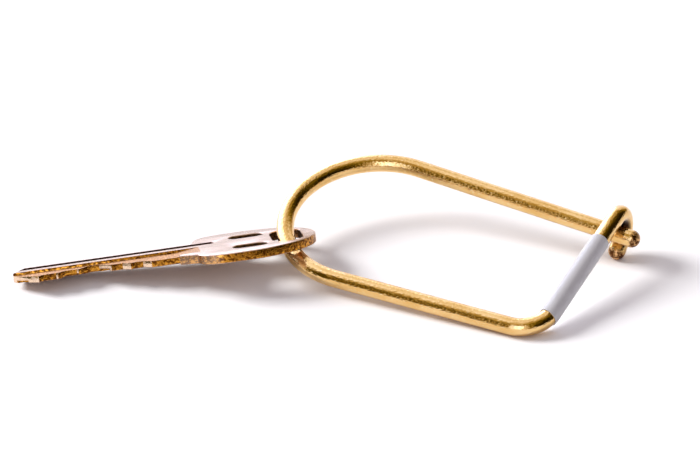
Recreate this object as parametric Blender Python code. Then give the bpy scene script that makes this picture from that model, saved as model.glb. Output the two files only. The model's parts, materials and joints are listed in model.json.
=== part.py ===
"""Brass keychain: a D-shaped ring of round wire with a hook clasp, a sleeve on its bar, and a door key.

Units are metres and Z is up. The ring and the key stand on the ground plane z = 0 as they lie on a table:
the near rod's right end and the hook's tip touch it, and so do the key's tip and the far side of its bow.
"""
from math import asin, ceil, cos, pi, radians, sin, tan, tau

import bmesh
import bpy
from mathutils import Euler, Vector

# Wire ring
WIRE_DIAMETER = 0.003175
WIRE_RADIUS = WIRE_DIAMETER / 2
ROD_SPACING = 0.0329            # near rod axis to far rod axis
NEAR_ROD_LENGTH = 0.0337        # straight part of the near rod
CORNER_RADIUS = 0.0054          # bend between the near rod and the bar, at the wire's axis
BAR_LEAN = radians(1.3)         # the bar leans away from the arc by this much
FAR_ROD_CONVERGENCE = radians(1.8)
FAR_ROD_OVERHANG = 0.0031       # far rod beyond the bar's axis, up to the round end
HOOK_RADIUS = 0.0036            # hook bend at the wire's axis
HOOK_TURN = radians(151)
HOOK_TAIL = 0.0020              # straight part after the hook's bend, up to the round end
ARC_RADIUS = ROD_SPACING / 2
SEAM_GAP = 0.0004               # between the two wires at the arc's apex
SEAM_STUB = 0.00015             # straight stub at each side of the seam, so that its faces are square

# Sleeve on the bar
SLEEVE_LENGTH = 0.0210
SLEEVE_START = -0.0011          # from the end of the corner bend: the sleeve reaches onto the bend
SLEEVE_WALL = 0.00035
SLEEVE_STAND_OUT = 0.00015      # sleeve surface above the wire's surface
SLEEVE_GAP = 0.0003             # around the wire's neck, and at each end
SLEEVE_EDGE = 0.0001
NECK_TAPER = 0.0001
SLEEVE_OUTER_RADIUS = WIRE_RADIUS + SLEEVE_STAND_OUT
SLEEVE_INNER_RADIUS = SLEEVE_OUTER_RADIUS - SLEEVE_WALL
NECK_RADIUS = SLEEVE_INNER_RADIUS - SLEEVE_GAP

# Ring at rest
RING_LIFT = radians(2.0)        # the key holds the arc end up by this much

# Key plate: x runs from the tip to the bow's end, y across it from the key's own axis
KEY_THICKNESS = 0.0017
KEY_CHAMFER = 0.00014
BLADE_LENGTH = 0.0293           # from the tip to the stop on the near side
BLADE_HALF_WIDTH = 0.0043
STOP_STEP = 0.0014              # the stop beyond the blade's near edge
SHOULDER_STEP = 0.0027          # the near shoulder meets the bow this far beyond the blade's edge
STOP_TO_BOW = 0.0119            # from the stop to the bow's widest line
BOW_HALF_WIDTH = 0.0105
BOW_FRONT_LENGTH = 0.0092       # from the bow's widest line towards the blade
BOW_END_LENGTH = 0.0129         # from the bow's widest line to the key's end
BOW_FRONT_EXPONENT = 4.0
BOW_END_EXPONENT = 2.0
BOW_X = BLADE_LENGTH + STOP_TO_BOW
KEY_LENGTH = BOW_X + BOW_END_LENGTH

# Key tip
NOSE_Y = 0.0004
TIP_RAMP_START_X = 0.0009
TIP_RAMP_START_Y = -0.0009
TIP_RAMP_END_X = 0.0044
TIP_RAMP_END_DEPTH = 0.0011
TIP_FAR_X = 0.0021

# Key cuts: flats in the blade's near edge, as shares of the blade's length and of its width
CUT_START_SHARES = (0.181, 0.307, 0.451, 0.594, 0.724)
CUT_END_SHARES = (0.256, 0.382, 0.519, 0.659, 0.782)
CUT_DEPTH_SHARES = (0.209, 0.302, 0.453, 0.244, 0.151)
CUT_SLOPE = 0.9                 # rise of a cut's flank over its run

# Ring slot in the bow: the wire crosses the plate aslant
CROSSING_ANGLE = radians(30)    # between the wire and the plate
SLOT_SIDE_CLEARANCE = 0.0012
SLOT_END_CLEARANCE = 0.00115
SLOT_FROM_END = 0.0052          # slot centre from the bow's end
SLOT_HALF_WIDTH = WIRE_RADIUS + SLOT_SIDE_CLEARANCE
SLOT_HALF_LENGTH = WIRE_RADIUS / sin(CROSSING_ANGLE) + KEY_THICKNESS / 2 / tan(CROSSING_ANGLE) + SLOT_END_CLEARANCE
PIVOT_X = KEY_LENGTH - SLOT_FROM_END

# Oblong cut-outs in the bow
OBLONG_LENGTH = 0.0064
OBLONG_WIDTH = 0.0034
OBLONG_OFFSET_Y = 0.0049
OBLONG_FROM_BOW = 0.0008        # beyond the bow's widest line

# Milling of the blade
STEP_EDGE_Y = 0.0004            # everything nearer than this is milled down
STEP_DEPTH = 0.0005
STEP_RAMP_LENGTH = 0.0043       # the step's floor rises to the face over this length
STEP_RUN_OUT = 0.0038           # the step ends this far beyond the stop
STEP_OVERLAP = 0.0003           # the mill runs past the blade's near edge by this much
GROOVE_Y = 0.0028
GROOVE_WIDTH = 0.0013
GROOVE_DEPTH = 0.0007
GROOVE_START_X = 0.0018
GROOVE_RUN_OUT = 0.0063
UNDERCUT_Y = -0.0012
UNDERCUT_WIDTH = 0.0016
UNDERCUT_DEPTH = 0.0005

# Key at rest: the wire's axis crosses the middle of the slot at this angle of the arc
PIVOT_ARC_ANGLE = radians(51.43)
KEY_ROLL = radians(-18.54)
KEY_PITCH = radians(-3.19)
KEY_YAW = radians(36.58)

# Resolution
PROFILE_RESOLUTION = 8
ARC_STEP = radians(6)
HOOK_STEP = radians(10)
END_STEP = radians(16)
END_TURN = radians(80)          # the round ends are flat beyond this
SLEEVE_SEGMENTS = 40
BOW_STEP = radians(5)
ROUND_POINTS = 12
WELD_DISTANCE = 0.000001
CUT_MARGIN = 0.003
TILT_STEP = radians(0.0001)


def clear_scene():
    """Remove every object of the opened scene."""
    for item in list(bpy.data.objects):
        bpy.data.objects.remove(item, do_unlink=True)


def new_collection(name):
    """Return a new collection linked to the scene."""
    group = bpy.data.collections.new(name)
    bpy.context.scene.collection.children.link(group)
    return group


def new_material(name, colour, roughness, metallic):
    """Return a Principled material."""
    material = bpy.data.materials.new(name)
    material.use_nodes = True
    shader = material.node_tree.nodes["Principled BSDF"]
    shader.inputs["Base Color"].default_value = colour
    shader.inputs["Roughness"].default_value = roughness
    shader.inputs["Metallic"].default_value = metallic
    material.diffuse_color = colour
    return material


def new_empty(name, group, parent=None):
    """Return an empty that carries other objects."""
    empty = bpy.data.objects.new(name, None)
    group.objects.link(empty)
    empty.parent = parent
    return empty


def curve_to_object(name, curve, group):
    """Turn a curve into a welded mesh object, whose normals point out."""
    temporary = bpy.data.objects.new(name + "_curve", curve)
    group.objects.link(temporary)
    bpy.context.view_layer.update()
    mesh = bpy.data.meshes.new_from_object(temporary.evaluated_get(bpy.context.evaluated_depsgraph_get()))
    mesh.name = name
    bpy.data.objects.remove(temporary, do_unlink=True)
    work = bmesh.new()
    work.from_mesh(mesh)
    bmesh.ops.remove_doubles(work, verts=work.verts, dist=WELD_DISTANCE)
    bmesh.ops.recalc_face_normals(work, faces=work.faces)
    work.to_mesh(mesh)
    work.free()
    mesh.materials.clear()
    result = bpy.data.objects.new(name, mesh)
    group.objects.link(result)
    return result


def wire_object(name, points, group):
    """Sweep the wire's round section along points of (position, radius)."""
    curve = bpy.data.curves.new(name, "CURVE")
    curve.dimensions = "3D"
    curve.bevel_depth = WIRE_RADIUS
    curve.bevel_resolution = PROFILE_RESOLUTION
    curve.use_fill_caps = True
    curve.twist_mode = "MINIMUM"
    spline = curve.splines.new("POLY")
    spline.points.add(len(points) - 1)
    for target, (place, radius) in zip(spline.points, points):
        target.co = (*place, 1.0)
        target.radius = radius / WIRE_RADIUS
    return curve_to_object(name, curve, group)


def turned(angle, radius):
    """Point on a circle around the origin, from the -Y direction towards -X."""
    return Vector((-radius * sin(angle), -radius * cos(angle), 0))


def spaced(start, end, step):
    """Values from start to end, both included, no further apart than step."""
    count = max(1, ceil(abs(end - start) / step))
    return [start + (end - start) * index / count for index in range(count + 1)]


def bar_direction():
    """Unit vector along the bar, in the ring's plane."""
    return Vector((sin(BAR_LEAN), cos(BAR_LEAN), 0))


def bar_start():
    """Where the corner bend ends and the bar begins."""
    turn = pi / 2 - BAR_LEAN
    return Vector((NEAR_ROD_LENGTH + CORNER_RADIUS * sin(turn), CORNER_RADIUS - CORNER_RADIUS * cos(turn), 0))


def bar_axis(distance):
    """Point and direction of the wire's axis at a distance from the bar's start. Less than 0 is on the corner."""
    if distance >= 0:
        return bar_start() + bar_direction() * distance, bar_direction()
    turn = pi / 2 - BAR_LEAN + distance / CORNER_RADIUS
    corner = Vector((NEAR_ROD_LENGTH, CORNER_RADIUS, 0))
    return corner + turned(-turn, CORNER_RADIUS), Vector((cos(turn), sin(turn), 0))


def far_rod_start():
    """Where the arc ends and the far rod begins, before it is dipped."""
    return Vector((0, ARC_RADIUS, 0)) + turned(pi + FAR_ROD_CONVERGENCE, ARC_RADIUS)


def far_rod_direction():
    """Unit vector along the far rod, before it is dipped."""
    return Vector((cos(FAR_ROD_CONVERGENCE), -sin(FAR_ROD_CONVERGENCE), 0))


def crossing_distance():
    """Distance along the bar from its start to where it crosses over the far rod."""
    start = bar_start()
    bar = bar_direction()
    rod = far_rod_direction()
    offset = far_rod_start() - start
    return (offset.x * rod.y - offset.y * rod.x) / (bar.x * rod.y - bar.y * rod.x)


def crossing_point():
    """Point of the bar's axis above the far rod."""
    return bar_start() + bar_direction() * crossing_distance()


def apex():
    """The arc's leftmost point, where the arm is joined."""
    return Vector((-ARC_RADIUS, ARC_RADIUS, 0))


def far_rod_dip():
    """Angle by which the arm is turned down, so that the far rod runs through the hook's centre."""
    return asin(HOOK_RADIUS / (crossing_point().x - apex().x))


def hook_point(angle):
    """Point of the hook's axis, from its start over the far rod."""
    centre = crossing_point() - Vector((0, 0, HOOK_RADIUS))
    return centre + bar_direction() * HOOK_RADIUS * sin(angle) + Vector((0, 0, HOOK_RADIUS * cos(angle)))


def hook_direction():
    """Unit vector along the hook's straight tail."""
    return bar_direction() * cos(HOOK_TURN) - Vector((0, 0, sin(HOOK_TURN)))


def hook_end():
    """Centre of the hook's round end."""
    return hook_point(HOOK_TURN) + hook_direction() * HOOK_TAIL


def round_end(centre, direction):
    """Half sphere that closes the wire around a centre."""
    return [
        (centre + direction * WIRE_RADIUS * sin(angle), WIRE_RADIUS * cos(angle))
        for angle in spaced(0, END_TURN, END_STEP)
    ]


def seam_angles(end, side):
    """Angles of the arc's points from the seam's face at one side (1 or -1) of the apex to the arc's end."""
    face = pi / 2 + side * SEAM_GAP / 2 / ARC_RADIUS
    stub = face + side * SEAM_STUB / ARC_RADIUS
    return [face] + spaced(stub, end, ARC_STEP)


def frame_path():
    """Axis of the frame's wire: near half of the arc, near rod, corner, bar and hook."""
    centre = Vector((0, ARC_RADIUS, 0))
    path = [(centre + turned(angle, ARC_RADIUS), WIRE_RADIUS) for angle in seam_angles(0, -1)]
    corner = Vector((NEAR_ROD_LENGTH, CORNER_RADIUS, 0))
    neck_start = SLEEVE_START - SLEEVE_GAP
    neck_end = SLEEVE_START + SLEEVE_LENGTH + SLEEVE_GAP
    turn = pi / 2 - BAR_LEAN + neck_start / CORNER_RADIUS
    path += [(corner + turned(-angle, CORNER_RADIUS), WIRE_RADIUS) for angle in spaced(0, turn, HOOK_STEP)]
    for distance, radius in (
        (neck_start + NECK_TAPER, NECK_RADIUS),
        (SLEEVE_START / 2, NECK_RADIUS),
        (0, NECK_RADIUS),
        (neck_end - NECK_TAPER, NECK_RADIUS),
        (neck_end, WIRE_RADIUS),
    ):
        path.append((bar_axis(distance)[0], radius))
    path += [(hook_point(angle), WIRE_RADIUS) for angle in spaced(0, HOOK_TURN, HOOK_STEP)]
    return path + round_end(hook_end(), hook_direction())


def arm_path():
    """Axis of the arm's wire, from the apex: far half of the arc and far rod."""
    centre = Vector((0, ARC_RADIUS, 0))
    path = [
        (centre + turned(angle, ARC_RADIUS) - apex(), WIRE_RADIUS)
        for angle in seam_angles(pi + FAR_ROD_CONVERGENCE, 1)
    ]
    length = (crossing_point().x + FAR_ROD_OVERHANG - far_rod_start().x) / far_rod_direction().x
    end = far_rod_start() - apex() + far_rod_direction() * length
    return path + round_end(end, far_rod_direction())


def as_cutter(cutter, parent):
    """Hide a cutter from renders and hang it on what it cuts."""
    cutter.parent = parent
    cutter.display_type = "WIRE"
    cutter.hide_render = True


def cut(target, cutter):
    """Subtract the cutter from the target."""
    modifier = target.modifiers.new(cutter.name, "BOOLEAN")
    modifier.operation = "DIFFERENCE"
    modifier.solver = "EXACT"
    modifier.object = cutter


def build_frame(group, ring_plane, material):
    """Near half of the arc, near rod, bar and hook: the ring's standing part."""
    frame = wire_object("wire_frame", frame_path(), group)
    frame.data.materials.append(material)
    frame.parent = ring_plane
    return frame


def build_arm(group, ring_plane, material):
    """Far half of the arc and the far rod, with their origin on the joint at the apex."""
    arm = wire_object("wire_arm", arm_path(), group)
    arm.data.materials.append(material)
    arm.parent = ring_plane
    arm.location = apex()
    arm.rotation_euler = (0, far_rod_dip(), 0)
    return arm


def build_sleeve(group, ring_plane, material):
    """Sleeve around the bar: a tube swept along the wire's axis, and bent where it reaches onto the corner."""
    end = SLEEVE_START + SLEEVE_LENGTH
    section = (
        (SLEEVE_INNER_RADIUS, SLEEVE_START),
        (SLEEVE_OUTER_RADIUS - SLEEVE_EDGE, SLEEVE_START),
        (SLEEVE_OUTER_RADIUS, SLEEVE_START + SLEEVE_EDGE),
        (SLEEVE_OUTER_RADIUS, SLEEVE_START / 2),
        (SLEEVE_OUTER_RADIUS, 0),
        (SLEEVE_OUTER_RADIUS, end - SLEEVE_EDGE),
        (SLEEVE_OUTER_RADIUS - SLEEVE_EDGE, end),
        (SLEEVE_INNER_RADIUS, end),
        (SLEEVE_INNER_RADIUS, 0),
        (SLEEVE_INNER_RADIUS, SLEEVE_START / 2),
    )
    work = bmesh.new()
    rings = []
    for radius, distance in section:
        centre, along = bar_axis(distance)
        side = along.cross(Vector((0, 0, 1))) * radius
        up = Vector((0, 0, radius))
        angles = [tau * index / SLEEVE_SEGMENTS for index in range(SLEEVE_SEGMENTS)]
        rings.append([work.verts.new(centre + side * cos(angle) + up * sin(angle)) for angle in angles])
    for first, second in zip(rings, rings[1:] + rings[:1]):
        for index in range(SLEEVE_SEGMENTS):
            after = (index + 1) % SLEEVE_SEGMENTS
            work.faces.new((first[index], first[after], second[after], second[index]))
    bmesh.ops.recalc_face_normals(work, faces=work.faces)
    mesh = bpy.data.meshes.new("bar_sleeve")
    work.to_mesh(mesh)
    work.free()
    sleeve = bpy.data.objects.new("bar_sleeve", mesh)
    group.objects.link(sleeve)
    sleeve.data.materials.append(material)
    sleeve.parent = ring_plane
    return sleeve


def power(value, exponent):
    """Signed power, for the bow's outline."""
    return abs(value) ** exponent * (1 if value >= 0 else -1)


def bow_point(angle):
    """Point of the bow's outline: blunt towards the blade and elliptic at its end."""
    front = cos(angle) < 0
    length = BOW_FRONT_LENGTH if front else BOW_END_LENGTH
    exponent = BOW_FRONT_EXPONENT if front else BOW_END_EXPONENT
    along = length * power(cos(angle), 2 / exponent)
    return (BOW_X + along, BOW_HALF_WIDTH * power(sin(angle), 2 / exponent))


def bow_angle(half_width):
    """Angle at which the bow's blade side is this wide."""
    return pi - asin((half_width / BOW_HALF_WIDTH) ** (BOW_FRONT_EXPONENT / 2))


def bow_outline():
    """Bow's outline from the blade's far edge round the end to the near shoulder."""
    start = bow_angle(BLADE_HALF_WIDTH)
    end = -bow_angle(BLADE_HALF_WIDTH + SHOULDER_STEP)
    return [bow_point(angle) for angle in spaced(start, end, BOW_STEP)]


def cut_flats():
    """Start, end and depth of each flat, in metres."""
    return [
        (start * BLADE_LENGTH, end * BLADE_LENGTH, depth * 2 * BLADE_HALF_WIDTH)
        for start, end, depth in zip(CUT_START_SHARES, CUT_END_SHARES, CUT_DEPTH_SHARES)
    ]


def cut_outline():
    """Near edge of the blade from the stop to the tip: flats joined by sloping flanks that meet in peaks."""
    flats = cut_flats()
    edge = -BLADE_HALF_WIDTH
    _, last_end, last_depth = flats[-1]
    points = [(last_end + last_depth / CUT_SLOPE, edge)]
    for number in range(len(flats) - 1, -1, -1):
        start, end, depth = flats[number]
        points.append((end, edge + depth))
        points.append((start, edge + depth))
        if number:
            _, before_end, before_depth = flats[number - 1]
            peak_run = (start - before_end + (depth - before_depth) / CUT_SLOPE) / 2
            points.append((start - peak_run, edge + depth - peak_run * CUT_SLOPE))
    return points


def tip_outline():
    """Tip of the key, from the near edge round to the far edge."""
    return [
        (TIP_RAMP_END_X, TIP_RAMP_END_DEPTH - BLADE_HALF_WIDTH),
        (TIP_RAMP_START_X, TIP_RAMP_START_Y),
        (0, NOSE_Y),
        (TIP_FAR_X, BLADE_HALF_WIDTH),
    ]


def key_outline():
    """The whole key seen from above, clockwise from the far side of the blade's end."""
    stop = [(BLADE_LENGTH, -BLADE_HALF_WIDTH - STOP_STEP), (BLADE_LENGTH, -BLADE_HALF_WIDTH)]
    return bow_outline() + stop + cut_outline() + tip_outline()


def oblong(centre, half_length, half_width, along_y):
    """Round-ended slot, as a closed outline."""
    points = []
    for side in (1, -1):
        for index in range(ROUND_POINTS + 1):
            angle = pi * index / ROUND_POINTS
            across = half_width * cos(angle) * side
            along = (half_length - half_width + half_width * sin(angle)) * side
            points.append((centre[0] + across, centre[1] + along) if along_y else
                          (centre[0] + along, centre[1] - across))
    return points


def add_outline(curve, points):
    """Add one closed outline, measured from the key's tip, with the pivot as origin."""
    spline = curve.splines.new("POLY")
    spline.points.add(len(points) - 1)
    for target, (x, y) in zip(spline.points, points):
        target.co = (x - PIVOT_X, y, 0, 1)
    spline.use_cyclic_u = True


def key_curve():
    """Flat outline with its openings, thickened and chamfered."""
    curve = bpy.data.curves.new("key", "CURVE")
    curve.dimensions = "2D"
    curve.fill_mode = "BOTH"
    curve.extrude = KEY_THICKNESS / 2 - KEY_CHAMFER
    curve.bevel_depth = KEY_CHAMFER
    curve.bevel_resolution = 0
    curve.offset = -KEY_CHAMFER
    add_outline(curve, key_outline())
    add_outline(curve, oblong((PIVOT_X, 0), SLOT_HALF_LENGTH, SLOT_HALF_WIDTH, True))
    for side in (1, -1):
        centre = (BOW_X + OBLONG_FROM_BOW, side * OBLONG_OFFSET_Y)
        add_outline(curve, oblong(centre, OBLONG_LENGTH / 2, OBLONG_WIDTH / 2, False))
    return curve


def prism(name, corners, sweep, group):
    """Solid swept from a closed flat outline."""
    mesh = bpy.data.meshes.new(name)
    work = bmesh.new()
    face = work.faces.new([work.verts.new(corner) for corner in corners])
    swept = bmesh.ops.extrude_face_region(work, geom=[face])["geom"]
    moved = [item for item in swept if isinstance(item, bmesh.types.BMVert)]
    bmesh.ops.translate(work, vec=sweep, verts=moved)
    bmesh.ops.recalc_face_normals(work, faces=work.faces)
    work.to_mesh(mesh)
    work.free()
    solid = bpy.data.objects.new(name, mesh)
    group.objects.link(solid)
    return solid


def strip_cutter(name, ends, middle_y, width, heights, group):
    """Upright box along the key, between two distances from the tip."""
    low = middle_y - width / 2
    high = middle_y + width / 2
    plan = [(ends[0], low), (ends[1], low), (ends[1], high), (ends[0], high)]
    corners = [(x - PIVOT_X, y, heights[0]) for x, y in plan]
    return prism(name, corners, (0, 0, heights[1] - heights[0]), group)


def step_cutter(name, face, group):
    """Prism that mills the blade's near side down, with a floor that rises to the face at the bow."""
    floor = face - STEP_DEPTH
    end = BLADE_LENGTH + STEP_RUN_OUT
    side_view = [
        (-CUT_MARGIN, floor),
        (end - STEP_RAMP_LENGTH, floor),
        (end, face),
        (end + STEP_RAMP_LENGTH, face + STEP_DEPTH),
        (-CUT_MARGIN, face + STEP_DEPTH),
    ]
    near = -BLADE_HALF_WIDTH - STEP_OVERLAP
    corners = [(x - PIVOT_X, near, height) for x, height in side_view]
    return prism(name, corners, (0, STEP_EDGE_Y - near, 0), group)


def build_key(group, cutters, pivot, material):
    """Door key, with its origin in the middle of its slot."""
    key = curve_to_object("key", key_curve(), group)
    key.data.materials.append(material)
    key.parent = pivot
    face = KEY_THICKNESS / 2
    above = face + CUT_MARGIN
    step = step_cutter("blade_step_cutter", face, cutters)
    groove_ends = (GROOVE_START_X, BLADE_LENGTH + GROOVE_RUN_OUT)
    groove_heights = (face - GROOVE_DEPTH, above)
    groove = strip_cutter("blade_groove_cutter", groove_ends, GROOVE_Y, GROOVE_WIDTH, groove_heights, cutters)
    under_ends = (-CUT_MARGIN, BLADE_LENGTH + STEP_RUN_OUT)
    under_heights = (-above, UNDERCUT_DEPTH - face)
    under = strip_cutter("blade_under_cutter", under_ends, UNDERCUT_Y, UNDERCUT_WIDTH, under_heights, cutters)
    for cutter in (step, groove, under):
        as_cutter(cutter, key)
        cut(key, cutter)
    return key


def rotation_at_rest(tilt):
    """Ring's rotation for a tilt about its near rod."""
    return Euler((tilt, RING_LIFT, 0)).to_matrix()


def lowest(points, rotation):
    """Lowest height of the wire's axis over a list of points."""
    return min((rotation @ point).z for point in points)


def near_rod_points():
    """Points of the wire's axis along the near rod and its corner."""
    return [point for point, radius in frame_path() if point.y < CORNER_RADIUS and radius == WIRE_RADIUS]


def hook_points():
    """Points of the wire's axis along the hook's tail."""
    return [hook_point(HOOK_TURN), hook_end()]


def ring_tilt():
    """Tilt at which the near rod's corner and the hook stand equally low."""
    low, high = 0.0, pi / 6
    while high - low > TILT_STEP:
        middle = (low + high) / 2
        rotation = rotation_at_rest(middle)
        if lowest(near_rod_points(), rotation) < lowest(hook_points(), rotation):
            high = middle
        else:
            low = middle
    return middle


def place_ring(ring_plane):
    """Tilt the ring and set it on the ground."""
    tilt = ring_tilt()
    height = lowest(near_rod_points() + hook_points(), rotation_at_rest(tilt))
    ring_plane.rotation_euler = (tilt, RING_LIFT, 0)
    ring_plane.location = (0, 0, WIRE_RADIUS - height)


def place_pivot(pivot, ring_plane):
    """Put the key's pivot on the arc, and lay the key down."""
    on_arc = Vector((0, ARC_RADIUS, 0)) + turned(PIVOT_ARC_ANGLE, ARC_RADIUS)
    bpy.context.view_layer.update()
    place = ring_plane.matrix_local @ on_arc
    pivot.location = place
    pivot.rotation_euler = (KEY_ROLL, KEY_PITCH, KEY_YAW)


def centre_on_base(root, pieces):
    """Move the root so that the pieces' bounding box is centred on the origin in plan."""
    bpy.context.view_layer.update()
    graph = bpy.context.evaluated_depsgraph_get()
    corners = []
    for piece in pieces:
        evaluated = piece.evaluated_get(graph)
        corners += [piece.matrix_world @ vertex.co for vertex in evaluated.data.vertices]
    for axis in (0, 1):
        values = [corner[axis] for corner in corners]
        root.location[axis] -= (min(values) + max(values)) / 2
    bpy.context.view_layer.update()


def build():
    """Build the keychain."""
    clear_scene()
    group = new_collection("brass_keychain")
    cutters = new_collection("cutters")
    frame_brass = new_material("frame_brass", (0.78, 0.52, 0.20, 1), 0.28, 1.0)
    arm_brass = new_material("arm_brass", (0.78, 0.52, 0.20, 1), 0.28, 1.0)
    enamel = new_material("sleeve_enamel", (0.90, 0.90, 0.92, 1), 0.35, 0.0)
    key_brass = new_material("key_brass", (0.80, 0.62, 0.45, 1), 0.32, 1.0)
    root = new_empty("keychain_root", group)
    ring_plane = new_empty("ring_plane", group, root)
    pivot = new_empty("key_pivot", group, root)
    place_ring(ring_plane)
    frame = build_frame(group, ring_plane, frame_brass)
    arm = build_arm(group, ring_plane, arm_brass)
    sleeve = build_sleeve(group, ring_plane, enamel)
    place_pivot(pivot, ring_plane)
    key = build_key(group, cutters, pivot, key_brass)
    centre_on_base(root, (frame, arm, sleeve, key))


build()
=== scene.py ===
# %% [markdown]
# # A brass key ring with a door key
#
# This notebook dresses a finished CAD model. The model has a ring bent from one brass wire, a pale sleeve on the
# ring's straight bar, and a door key that hangs on its arc. Each cell of code makes one thing and prints what it made.
# Lengths are in metres, Z is up, and the object lies on a table at height zero.

# %% Load the model
import json
from math import asin, ceil, cos, degrees, pi, radians, sin, tau

import bmesh
import bpy
from mathutils import Matrix, Vector


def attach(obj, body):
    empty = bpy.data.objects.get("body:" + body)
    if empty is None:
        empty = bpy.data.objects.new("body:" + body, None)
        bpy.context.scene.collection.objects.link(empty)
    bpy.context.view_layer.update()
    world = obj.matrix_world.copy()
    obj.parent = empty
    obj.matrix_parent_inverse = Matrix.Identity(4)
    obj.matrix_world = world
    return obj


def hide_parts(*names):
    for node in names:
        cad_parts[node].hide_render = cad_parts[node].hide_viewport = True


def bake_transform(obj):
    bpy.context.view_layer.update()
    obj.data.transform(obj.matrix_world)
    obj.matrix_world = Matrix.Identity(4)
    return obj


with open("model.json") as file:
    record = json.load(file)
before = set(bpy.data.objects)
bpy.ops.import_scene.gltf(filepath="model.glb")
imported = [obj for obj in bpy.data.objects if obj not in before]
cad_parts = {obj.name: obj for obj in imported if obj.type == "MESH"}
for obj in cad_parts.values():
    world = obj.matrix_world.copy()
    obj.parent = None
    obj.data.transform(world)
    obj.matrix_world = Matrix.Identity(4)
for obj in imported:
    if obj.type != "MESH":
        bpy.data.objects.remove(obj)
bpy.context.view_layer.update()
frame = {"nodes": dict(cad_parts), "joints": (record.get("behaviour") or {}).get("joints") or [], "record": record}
print("CAD nodes:", ", ".join(sorted(frame["nodes"])))

# %% [markdown]
# ## The ring's own directions
#
# The ring lies tilted, so it is easier to think in directions of its own: along its rods, across from the near rod
# to the far rod, and out of its plane. The joint where the wire bends knows the place of the arc's leftmost point,
# its apex, and the direction out of the ring's plane. The rods have no slope across the table, which gives the
# direction along them, and the third follows from the other two.

# %% Directions from the joints
joints = {joint["name"]: joint for joint in frame["joints"]}
apex = Vector(joints["arm_squeeze"]["pos_m"])
outward = -Vector(joints["arm_squeeze"]["axis"]).normalized()
along = Vector((outward.z, 0, -outward.x)).normalized()
across = outward.cross(along)
print("Along the rods:", [round(value, 3) for value in along])

# %% [markdown]
# ## Sizes of the wire
#
# These are the wire's real sizes, as the CAD model has them. Everything else on the ring is worked out from them.

# %% Sizes of the ring
WIRE_RADIUS = 0.0015875
ARC_RADIUS = 0.01645
NEAR_ROD_LENGTH = 0.0337
CORNER_RADIUS = 0.0054
BAR_LEAN = radians(1.3)
FAR_ROD_CONVERGENCE = radians(1.8)
FAR_ROD_OVERHANG = 0.0031
HOOK_RADIUS = 0.0036
HOOK_TURN = radians(151)
HOOK_TAIL = 0.0020
SPLIT_ANGLE = radians(62)       # on the arc, from the near rod
arc_centre = apex + along * ARC_RADIUS
rod_start = arc_centre - across * ARC_RADIUS
bar = (along * sin(BAR_LEAN) + across * cos(BAR_LEAN)).normalized()
corner_centre = rod_start + along * NEAR_ROD_LENGTH + across * CORNER_RADIUS
corner_turn = pi / 2 - BAR_LEAN
bar_start = corner_centre + along * CORNER_RADIUS * sin(corner_turn) - across * CORNER_RADIUS * cos(corner_turn)
print("The bar starts at", [round(value * 1000, 2) for value in bar_start], "mm")

# %% [markdown]
# ## Where the bar meets the far rod
#
# The far rod runs in towards the near rod by a small angle, and it dips so that it passes through the middle of the
# hook. Seen in the ring's plane, the bar and the far rod are two lines, and they cross where the hook begins.

# %% Crossing of the bar and the far rod
rod_heading = along * cos(FAR_ROD_CONVERGENCE) - across * sin(FAR_ROD_CONVERGENCE)
far_start = arc_centre + along * ARC_RADIUS * sin(FAR_ROD_CONVERGENCE) + across * ARC_RADIUS * cos(FAR_ROD_CONVERGENCE)
offset = far_start - bar_start
bar_length = offset.cross(rod_heading).dot(outward) / bar.cross(rod_heading).dot(outward)
crossing = bar_start + bar * bar_length
print("The bar is", round(bar_length * 1000, 2), "mm long")

# %% [markdown]
# ## A kit for bending wire
#
# Wire can be modelled as a maker bends it. A circle is the wire's section. Extruding it makes a straight piece, and
# the spin operator carries it round a centre to make a bend. A curve with a bevel would be quicker, but here each
# bend keeps its real centre and radius, and the section stays square to the wire.

# %% Start, straight piece, bend and round end
SIDES = 48
BEND_STEP = radians(2.5)
DOME_LEVELS = 8
STRAIGHT_STEP = 0.004


def deselect():
    """Go to object mode with nothing selected."""
    if bpy.context.object and bpy.context.object.mode != "OBJECT":
        bpy.ops.object.mode_set(mode="OBJECT")
    bpy.ops.object.select_all(action="DESELECT")


def start_wire(name, place, heading):
    """Add the wire's section and leave it selected in edit mode."""
    deselect()
    turn = heading.to_track_quat("Z", "X").to_euler()
    bpy.ops.mesh.primitive_circle_add(vertices=SIDES, radius=WIRE_RADIUS, location=place, rotation=turn)
    piece = bpy.context.object
    piece.name = name
    bpy.ops.object.transform_apply(location=True, rotation=True, scale=True)
    bpy.ops.object.mode_set(mode="EDIT")
    bpy.ops.mesh.select_all(action="SELECT")
    return piece


def pull(heading, length):
    """Extrude the selected section straight on."""
    steps = max(1, ceil(length / STRAIGHT_STEP))
    for _ in range(steps):
        bpy.ops.mesh.extrude_region_move(TRANSFORM_OT_translate={"value": heading * length / steps})


def bend(centre, axis, turn):
    """Carry the selected section round a centre."""
    steps = max(1, ceil(abs(turn) / BEND_STEP))
    bpy.ops.mesh.spin(steps=steps, angle=-turn, center=centre, axis=axis)


def round_off(centre, heading):
    """Close the wire with a half sphere around a centre."""
    height = 0.0
    radius = WIRE_RADIUS
    for level in range(1, DOME_LEVELS + 1):
        angle = pi / 2 * level / DOME_LEVELS
        rise = WIRE_RADIUS * sin(angle)
        bpy.ops.mesh.extrude_region_move(TRANSFORM_OT_translate={"value": heading * (rise - height)})
        height = rise
        if level == DOME_LEVELS:
            bpy.ops.mesh.merge(type="CENTER")
            return
        ratio = WIRE_RADIUS * cos(angle) / radius
        radius *= ratio
        bpy.ops.transform.resize(value=(ratio, ratio, ratio), center_override=centre + heading * rise)


print("Wire kit:", SIDES, "sides round the wire, a step every", round(degrees(BEND_STEP), 1), "degrees in a bend")

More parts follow.
